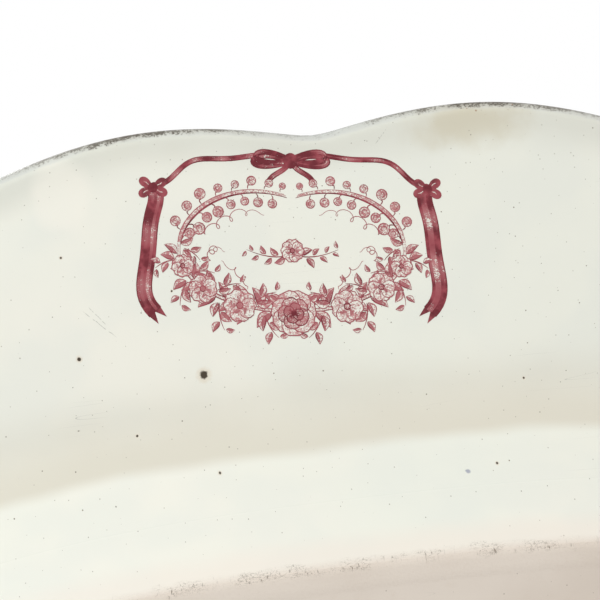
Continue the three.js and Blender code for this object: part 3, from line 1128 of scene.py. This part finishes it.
def twig_tree():
    kinds = {"Path": "Object", "Leaf": "Object"}
    kinds |= {name: "Int" if isinstance(value, int) else "Float" for name, value in TWIG.items()}
    nodes, size = geometry_tree("twig", kinds | {"Own points": "Bool", "Material": "Material"})
    path = nodes.add("GeometryNodeObjectInfo", {}, {"Object": size["Path"]}, out="Geometry")
    leaf_shape = nodes.add("GeometryNodeObjectInfo", {}, {"Object": size["Leaf"]}, out="Geometry")
    line = nodes.add("GeometryNodeMeshToCurve", {}, {"Mesh": path})
    spaced = nodes.add("GeometryNodeResampleCurve", {}, {"Curve": line, "Count": size["Count"]})
    sockets = {"Switch": size["Own points"], "False": spaced, "True": line}
    spots = nodes.add("GeometryNodeSwitch", {"input_type": "GEOMETRY"}, sockets)
    tangent = nodes.vector("MULTIPLY", nodes.add("GeometryNodeInputTangent"), (1, 1, 0))
    index = nodes.add("GeometryNodeInputIndex")
    share = index / (size["Count"] - 1)
    side = 1 - index.math("MODULO", index, 2.0) * 2

    # Turn each copy from the path's direction to its own side, and set it a little off the path.
    ahead = nodes.add("FunctionNodeAlignRotationToVector", {"axis": "X"}, {"Vector": tangent})
    sockets = {2: -1.0, 3: 1.0, 8: size["Seed"]}
    chance = nodes.add("FunctionNodeRandomValue", {"data_type": "FLOAT"}, sockets, out=1)
    angle = (size["Angle"] + chance * SWING * size["Unevenness"]) * side * math.radians(1)
    swing = nodes.add("ShaderNodeCombineXYZ", {}, {"Z": angle})
    own = nodes.add("FunctionNodeEulerToRotation", {}, {"Euler": swing})
    sockets = {"Rotation": ahead, "Rotate By": own}
    turned = nodes.add("FunctionNodeRotateRotation", {"rotation_space": "LOCAL"}, sockets)
    scale = size["Base size"] + share * (size["Tip size"] - size["Base size"])
    scale = scale * (1 + chance * size["Unevenness"])
    square = nodes.vector("CROSS_PRODUCT", (0, 0, 1), tangent)
    shift = nodes.scale(square, side * size["Offset"])
    raised = nodes.add("ShaderNodeCombineXYZ", {}, {"Z": index * size["Layer step"]})
    sockets = {"Geometry": spots, "Offset": nodes.vector("ADD", shift, raised)}
    moved = nodes.add("GeometryNodeSetPosition", {}, sockets)
    copies = nodes.add("GeometryNodeInstanceOnPoints", {}, {
        "Points": moved, "Instance": leaf_shape, "Rotation": turned, "Scale": scale,
    })
    nodes.finish_geometry(copies, size["Material"])
    return nodes.tree


TWIGS = twig_tree()
print("twig tree:", len(TWIGS.nodes), "nodes")


# %% Set a motif along a path
def drawing_object(name, drawing):
    """A drawing as a flat mesh, with its paleness as an attribute."""
    mesh = bpy.data.meshes.new(name)
    mesh.from_pydata(drawing.points, [], drawing.faces)
    pale = mesh.attributes.new("paleness", "FLOAT", "POINT")
    pale.data.foreach_set("value", drawing.paleness)
    return add_piece(name, mesh)


def set_along(path, shape, closed=False, **values):
    """A drawing with copies of a shape set along a path, or on the points of a closed one."""
    line = points_object("twig_path", [(p.real, p.imag, 0) for p in path], closed)
    copy = drawing_object("twig_leaf", shape)
    kinds = {"Path": line, "Leaf": copy, "Own points": closed, "Material": INK}
    grown = grow("twig", TWIGS, TWIG | kinds | values)
    drawing = Drawing()
    drawing.points = [tuple(vertex.co) for vertex in grown.data.vertices]
    drawing.faces = [tuple(polygon.vertices) for polygon in grown.data.polygons]
    drawing.paleness = [value.value for value in grown.data.attributes["paleness"].data]
    for helper in (line, copy, grown):
        bpy.data.objects.remove(helper)
    return drawing


# %% [markdown]
# ## Pressing the print on
# Each point of a drawing is carried straight up or down until it meets the platter, and stops a hair's
# breadth off it. The film then gets its thickness, so that it is a closed solid.

# %% Press
LIFT = 0.03
LAYER_STEP = 0.002
FILM_THICKNESS = 0.02
START_HEIGHT = 80         # well above the face and below the back

platter_surface = BVHTree.FromPolygons(
    [vertex.co for vertex in platter.data.vertices],
    [tuple(polygon.vertices) for polygon in platter.data.polygons],
)
print("the prints land on", len(platter.data.polygons), "faces")


def press(name, drawing, place, side):
    """Presses a drawing on the face, side 1, or the back, side -1. place turns its points into X and Y."""
    pressed = Drawing()
    pressed.faces = drawing.faces
    pressed.paleness = drawing.paleness
    for x, y, layer in drawing.points:
        landing = place(complex(x, y))
        start = Vector((landing.real, landing.imag, side * START_HEIGHT)) * MM
        hit = platter_surface.ray_cast(start, Vector((0, 0, -side)))[0]
        lift = (LIFT + layer * LAYER_STEP) * side * MM
        pressed.points.append((hit.x, hit.y, hit.z + lift))
    piece = drawing_object(name, pressed)
    piece.data.materials.append(INK)
    film = piece.modifiers.new("film", "SOLIDIFY")
    film.thickness = FILM_THICKNESS * MM
    film.offset = -1
    settle(piece)
    piece.data.shade_smooth()
    piece.data.set_sharp_from_angle(angle=SHARP_ANGLE)
    triangles = sum(len(polygon.vertices) - 2 for polygon in piece.data.polygons)
    print(f"{name}: {len(drawing.faces)} faces drawn, {triangles} triangles")
    return piece


def finish_print(piece, *nodes):
    """Hangs a print on the root body and hides the CAD nodes that it stands for."""
    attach(piece, "root")
    if nodes:
        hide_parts(*nodes)


# %% [markdown]
# ## The mark: wreath
# The mark under the rim is a design of its own, in the manner of its time: an oval wreath of roses and
# leaves below, two fronds with round buds above, a bow, and a ribbon down each side. It is about 58 mm
# wide. Its two halves are one drawing and its mirror image, and the flowers are set on them one by one.

# %% Half of the wreath
WREATH_CENTRE = complex(0, -1.5)
WREATH_HALF = (21, 11.2)


def on_wreath(angle, out=0.0):
    """The point of the wreath's oval at an angle in degrees, moved outward."""
    a = math.radians(angle)
    point = complex(WREATH_HALF[0] * math.cos(a), WREATH_HALF[1] * math.sin(a))
    outward = complex(math.cos(a) / WREATH_HALF[0], math.sin(a) / WREATH_HALF[1])
    return WREATH_CENTRE + point + outward / abs(outward) * out


def wreath_path(start, end, steps=24, out=0.0):
    return [on_wreath(start + (end - start) * k / steps, out) for k in range(steps + 1)]


half_wreath = Drawing()

# The stem of the garland: two lines with a tint between them, and leaves all along it.
half_wreath.stroke(wreath_path(-90, 6, 30), 0.55, 0.55, 0)
half_wreath.stroke(wreath_path(-90, 6, 30, 0.28), LINE, 0.1, 1)
half_wreath.stroke(wreath_path(-90, 6, 30, -0.28), LINE, 0.15, 1)
stem_leaves = {"Count": 15, "Angle": 48.0, "Seed": 3, "Tip size": 0.7}
half_wreath.take(set_along(wreath_path(-84, 6), leaf(3.9, 1.75), **stem_leaves))

# Short twigs of leaves that fill the gaps between the flowers, inside and outside.
for order, (angle, out, lean, size) in enumerate((
    (-76, 1, -20, 1.0), (-70, -1, 35, 0.9), (-51, 1, -15, 1.05), (-47, -1, 30, 0.9),
    (-27, 1, -10, 0.95), (-25, -1, 25, 0.8), (-8, 1, 10, 0.8), (2, -1, 15, 0.75),
)):
    root = on_wreath(angle, out)
    way = on_wreath(angle, out * 2) - root
    way *= turn(lean) / abs(way)
    path = bezier_path([root, root + way * 2.6 * size, root + way * turn(-18 * out) * 4.8 * size], 8)
    half_wreath.stroke(path, LINE, 0.1, 5 + order)
    twig = set_along(path, leaf(2.9, 1.45), Count=4, Angle=44.0, Seed=angle + 200, **{"Base size": size})
    half_wreath.take(twig, layer=5 + order)

# The fronds above, with their buds in pairs.
frond_points = ((7, 0), (26, 2.0), (50, 3.0), (70, 1.4), (87, -1.2))
frond = bezier_path([on_wreath(angle, out) for angle, out in frond_points], 24)
half_wreath.stroke(frond, 0.95, 0.5, 0, start=0.8)
half_wreath.stroke([p - 0.42j * turn(-35) for p in frond], LINE * 1.6, 0.02, 1)
half_wreath.stroke([p + 0.36j * turn(-35) for p in frond], LINE * 0.8, 0.2, 1)
frond_buds = {"Count": 16, "Angle": 62.0, "Offset": 0.45, "Seed": 8, "Tip size": 0.72}
half_wreath.take(set_along(frond[1:-1], bud(0.98), **frond_buds))
for points, loops, radius in (
    (((18, -1.5), (34, -5.5), (55, -2.0), (74, -4.4)), 5, 0.82),
    (((-30, -2.5), (-26, -6.5), (-2, -5.0), (4, -8.5)), 4, 0.6),
    (((-64, -3.0), (-60, -6.5), (-38, -6.0)), 3, -0.55),
):
    tendril(half_wreath, [on_wreath(angle, out) for angle, out in points], loops, radius)
print("half of the wreath:", len(half_wreath.faces), "faces")

# %% The whole wreath
rng = random.Random(5)
wreath = Drawing()
wreath.take(half_wreath)
wreath.take(half_wreath.mirrored())
for angle, radius, petals, out in (
    (-62, 3.1, 5, 0.4), (-118, 3.1, 5, 0.2),
    (-38, 2.7, 5, -0.2), (-142, 2.7, 6, 0.2),
    (-15, 2.1, 5, 0), (-165, 2.1, 5, 0),
):
    wreath.take(flower(radius, petals, rng.uniform(0, 72)), on_wreath(angle, out), layer=16)
wreath.take(rose(4.3, 12), on_wreath(-90, 0.3), layer=24)

# A small sprig in the middle.
for side in (1, -1):
    path = bezier_path([complex(0, -2.2), complex(3.5 * side, -3.6), complex(8.5 * side, -1.4)], 10)
    wreath.stroke(path, LINE, 0.05, 1)
    wreath.take(set_along(path[2:], leaf(2.2, 1.0), Count=7, Angle=48.0, Seed=20 + side))
wreath.take(flower(2.2, 5, 90), complex(0, -1.6), layer=5)
print("wreath:", len(wreath.faces), "faces")

# %% [markdown]
# ## The mark: bow and ribbons
# The bow and the ribbons are the darkest parts, cut with close lines, so the ink runs together and is
# streaky.

# %% A ribbon
RIBBON_LANES = 5


def ribbon(drawing, path, width, layer, folds, seed):
    """A dark ribbon with streaks along it and paler folds across it."""
    streaks = random.Random(seed)
    last = len(path) - 1
    sides = []
    for k, point in enumerate(path):
        step = path[min(k + 1, last)] - path[max(k - 1, 0)]
        sides.append(step / abs(step) * 1j)
    for lane in range(RIBBON_LANES):
        low = width * (lane / RIBBON_LANES - 0.5)
        high = width * ((lane + 1) / RIBBON_LANES - 0.5)
        tone = streaks.choice((0.0, 0.03, 0.08, 0.16, 0.26))
        pale = [max(0, tone + 0.2 * math.sin(folds * math.pi * k / last + seed)) for k in range(last + 1)]
        left = [p + s * high for p, s in zip(path, sides)]
        right = [p + s * low for p, s in zip(path, sides)]
        drawing.band(left, right, pale, layer)
    for edge in (-0.5, 0.5):
        hem = [p + s * width * edge for p, s in zip(path, sides)]
        drawing.stroke(hem, LINE, 0, layer + 1, start=1, end=1)


print("a ribbon has", RIBBON_LANES, "streaks")

# %% Bow
KNOT = 15j
KNOT_RADIUS = 1.25
bow = Drawing()
for side in (1, -1):
    for rise, length, seed in ((2.3, 6.6, 3), (0.2, 7.2, 8)):
        out = complex(side * length, 15.1 + rise * 0.55)
        far = out + complex(side * 1.8, -0.6)
        loop = bezier_path([KNOT + 0.1j, out + 2.2j, far, out - 2.6j, KNOT - 0.1j], 20)
        ribbon(bow, loop if side > 0 else loop[::-1], 0.85, 2, 3, seed + side)
    tail_points = (KNOT, complex(side * 1.2, 12.6), complex(side * 3.4, 12.9), complex(side * 4.2, 11.0))
    tail = bezier_path(tail_points, 12)
    ribbon(bow, tail, 0.8, 1, 2, 5 + side)
    swag = bezier_path([
        complex(side * 1, 15), complex(side * 9, 19.0), complex(side * 11, 10.6), complex(side * 17, 17.6),
        complex(side * 20.5, 17.8), complex(side * 20, 10.0), complex(side * 25.6, 10.4),
    ], 40)
    ribbon(bow, swag, 0.8, 0, 9, 11 + side)
bow.fan(KNOT, ring_path(KNOT, KNOT_RADIUS, steps=12, flat=1.1)[:-1], 0.0, 5)
bow.stroke(ring_path(KNOT, KNOT_RADIUS, 0, 345, 14, 1.1), LINE, 0, 6, start=1, end=1)
print("bow:", len(bow.faces), "faces")

# %% Side ribbons
RIBBON_WIDTH = 2.7


def side_ribbon(side):
    """A streamer that hangs in folds from a knot and ends in a swallow's tail."""
    drawing = Drawing()
    hang = bezier_path([
        complex(25.6, 9.9), complex(22.6, 6.0), complex(31.5, 3.5), complex(20.6, -2.5),
        complex(31.8, -6.5), complex(25.4, -12.8),
    ], 36)
    ribbon(drawing, hang, RIBBON_WIDTH, 0, 5, 2 + side)
    tip = hang[-1]
    ahead = tip - hang[-2]
    ahead /= abs(ahead)
    for across in (-1j, 1j):
        corner = tip + ahead * across * RIBBON_WIDTH / 2
        point = corner + ahead * 2.0 - ahead * across * 0.35
        outline = [tip - ahead * 0.15, corner - ahead * 0.15, point]
        drawing.fan(sum(outline) / 3, outline, 0.05, 0)
    knot = hang[0]
    loop = bezier_path([0, 2.4 + 2.3j, 4.6, 2.4 - 2.3j, 0], 14)[:-1]
    for angle in (35, 150, 205, 330):
        way = turn(angle)
        drawing.fan(knot + 1.5 * way, [knot + p * way for p in loop], 0.06, 3 + angle / 100)
        drawing.stroke([knot + p * way for p in (0.9, 1.5 + 0.12j, 2.0)], LINE, 0.55, 7)
    drawing.fan(knot, ring_path(knot, 0.95, steps=12)[:-1], 0.0, 8)
    return drawing if side > 0 else drawing.mirrored()


# %% Press the mark
MARK_ORIGIN = complex(-6.45, -154.1)
MARK_RIGHT = turn(5.8)


def mark_place(point):
    """The mark's plane to X and Y. Seen from below, its own upward direction points at the rim."""
    return MARK_ORIGIN + MARK_RIGHT * point.conjugate()


for name, drawing, node in (
    ("printed_wreath", wreath, "mark_wreath_print"),
    ("printed_bow", bow, "mark_bow"),
    ("printed_ribbon_left", side_ribbon(-1), "mark_ribbon_left"),
    ("printed_ribbon_right", side_ribbon(1), "mark_ribbon_right"),
):
    finish_print(press(name, drawing, mark_place, -1), node)

# %% [markdown]
# ## The face: lines
# The face has the pattern that the back only hints at: a crimson line round the rim, another in the well,
# and a garland between them. A line round the platter has to follow its scallops, so it comes from the
# same loft.

# %% Lines round the face
def face_height(inset):
    """The height of the face at an inset, from the profile."""
    for (outer, low), (inner, high) in zip(face_profile[1:], face_profile):
        if outer <= inset <= inner:
            return low + (high - low) * (inset - outer) / max(inner - outer, 1e-6)
    return FLOOR_TOP


def printed_line(name, start, end, steps):
    """A thin closed band that lies on the face between two insets."""
    insets = [end + (start - end) * k / steps for k in range(steps + 1)]
    top = [(inset, face_height(inset) + LIFT + FILM_THICKNESS) for inset in insets]
    under = [(inset, face_height(inset) + LIFT * 0.5) for inset in reversed(insets)]
    piece = loft(name, top + under + top[:1], INK, wobble=PLATTER_WOBBLE)
    turn_outward(piece)
    return piece


for name, start, end, steps, node in (
    ("printed_rim_line", 3.2, 4.7, 6, "rim_line_print"),
    ("printed_inner_rim_line", 6.0, 6.35, 4, "rim_line_print"),
    ("printed_well_line", 62.0, 63.6, 4, "well_line_print"),
    ("printed_inner_well_line", 65.0, 65.35, 4, "well_line_print"),
):
    finish_print(printed_line(name, start, end, steps), node)

# %% [markdown]
# ## The face: garland
# One bouquet stands on each bulge of the rim and a smaller sprig hangs in each dip. The twig tree sets
# them again, on the bulges' own points: the path is closed, and its points are used as they are.

# %% Rings to set motifs on
COLUMNS = 4               # the columns of the loft between two points, so that a phase can be a quarter
RING_WIDTH = 0.5


def ring_points(inset, count, phase=0.0):
    """Points round the platter at an inset, all one step apart, from a share of a step on."""
    flat = loft("ring", [(inset, 0), (inset + RING_WIDTH, 0)], INK, around=count * COLUMNS)
    insets = flat.data.attributes["inset_mm"].data
    outer = inset + RING_WIDTH / 2
    found = [v.co / MM for v, value in zip(flat.data.vertices, insets) if value.value < outer]
    bpy.data.objects.remove(flat)
    found.sort(key=lambda co: math.atan2(co.y, co.x) % math.tau)
    return [complex(co.x, co.y) for co in found[round(phase * COLUMNS) % COLUMNS::COLUMNS]]


# %% Bouquet and sprig
def bouquet():
    """The motif of a bulge: a rose between two flowers, on two sprays. +Y points into the well."""
    blooms, sprays = Drawing(), Drawing()
    for side in (1, -1):
        bends = (0, complex(5 * side, 2.6), complex(9 * side, -1.6), complex(13.2 * side, 0.6))
        stalk = bezier_path(bends, 12)
        sprays.stroke(stalk, LINE * 1.6, 0.05, 0)
        sprays.take(set_along(stalk[3:], leaf(3.2, 1.5), Count=8, Angle=48.0, Seed=31 + side))
        inner = bezier_path([1j, complex(2.5 * side, 5.5), complex(6.5 * side, 6.0)], 8)
        sprays.stroke(inner, LINE, 0.1, 0)
        sprays.take(set_along(inner[1:], leaf(2.6, 1.2), Count=5, Angle=45.0, Seed=41 + side))
        outer = bezier_path([-1j, complex(2.6 * side, -4.2), complex(6.0 * side, -5.0)], 8)
        sprays.stroke(outer, LINE, 0.1, 0)
        sprays.take(set_along(outer[2:], bud(0.7), Count=3, Angle=50.0, Offset=0.1, Seed=51 + side))
        blooms.take(flower(2.3, 5, 18 * side), complex(5.6 * side, 0.9), layer=4)
    blooms.take(rose(3.7, 8), 0, layer=12)
    return blooms, sprays


def sprig():
    """The motif of a dip: a small flower with two leaves and a pair of buds."""
    drawing = Drawing()
    for side in (1, -1):
        path = bezier_path([0, complex(1.5 * side, 2.0), complex(3.6 * side, 1.6)], 7)
        drawing.stroke(path, LINE, 0.1, 0)
        drawing.take(set_along(path[1:], leaf(2.4, 1.1), Count=3, Angle=40.0, Seed=61 + side))
    drawing.take(flower(1.9, 5, 90), 0, layer=4)
    return drawing


def scaled(drawing, by):
    larger = Drawing()
    larger.take(drawing, by=by)
    return larger


blooms, sprays = bouquet()
small_sprig = sprig()
print("a bouquet has", len(blooms.faces) + len(sprays.faces), "faces and a sprig", len(small_sprig.faces))

# %% Border and centre
SCALLOP_COUNT = round(OVAL["Scallops"])
BOUQUET_INSET = 25
BOUQUET_SIZE = 1.85
SPRIG_INSET = 17
SPRIG_SIZE = 1.7
BEAD_INSET = 8.6
BEAD_RADIUS = 0.55
BEADS_TO_A_SCALLOP = 18
CENTRE_SPRAY_SIZE = 2.4
CENTRE_BLOOM_SIZE = 3.2


def round_the_rim(motif, inset, phase=0.5, count=SCALLOP_COUNT):
    """Copies of a motif in even steps round the rim, as one flat drawing in X and Y."""
    still = dict.fromkeys(("Angle", "Offset", "Unevenness", "Layer step"), 0.0)
    still |= {"Count": count, "Tip size": 1.0}
    return set_along(ring_points(inset, count, phase), motif, closed=True, **still)


def on_the_face(point):
    """The face's drawings are made in X and Y already."""
    return point


bead = Drawing()
bead.fan(0, ring_path(0, BEAD_RADIUS, steps=6)[:-1], 0.1, 0)
bead_count = SCALLOP_COUNT * BEADS_TO_A_SCALLOP
border = {
    "printed_border_roses": round_the_rim(scaled(blooms, BOUQUET_SIZE), BOUQUET_INSET),
    "printed_border_leaves": round_the_rim(scaled(sprays, BOUQUET_SIZE), BOUQUET_INSET),
    "printed_border_sprigs": round_the_rim(scaled(small_sprig, SPRIG_SIZE), SPRIG_INSET, phase=0.0),
    "printed_beads": round_the_rim(bead, BEAD_INSET, phase=0.0, count=bead_count),
}
for name, drawing in border.items():
    finish_print(press(name, drawing, on_the_face, 1), "border_print")

# The spray in the middle of the well.
centre = Drawing()
for order, way in enumerate((-32, 28)):
    centre.take(sprays, 0, CENTRE_SPRAY_SIZE * turn(way), layer=order * 12)
centre.take(blooms, 0, CENTRE_BLOOM_SIZE, layer=24)
finish_print(press("printed_centre", centre, on_the_face, 1))
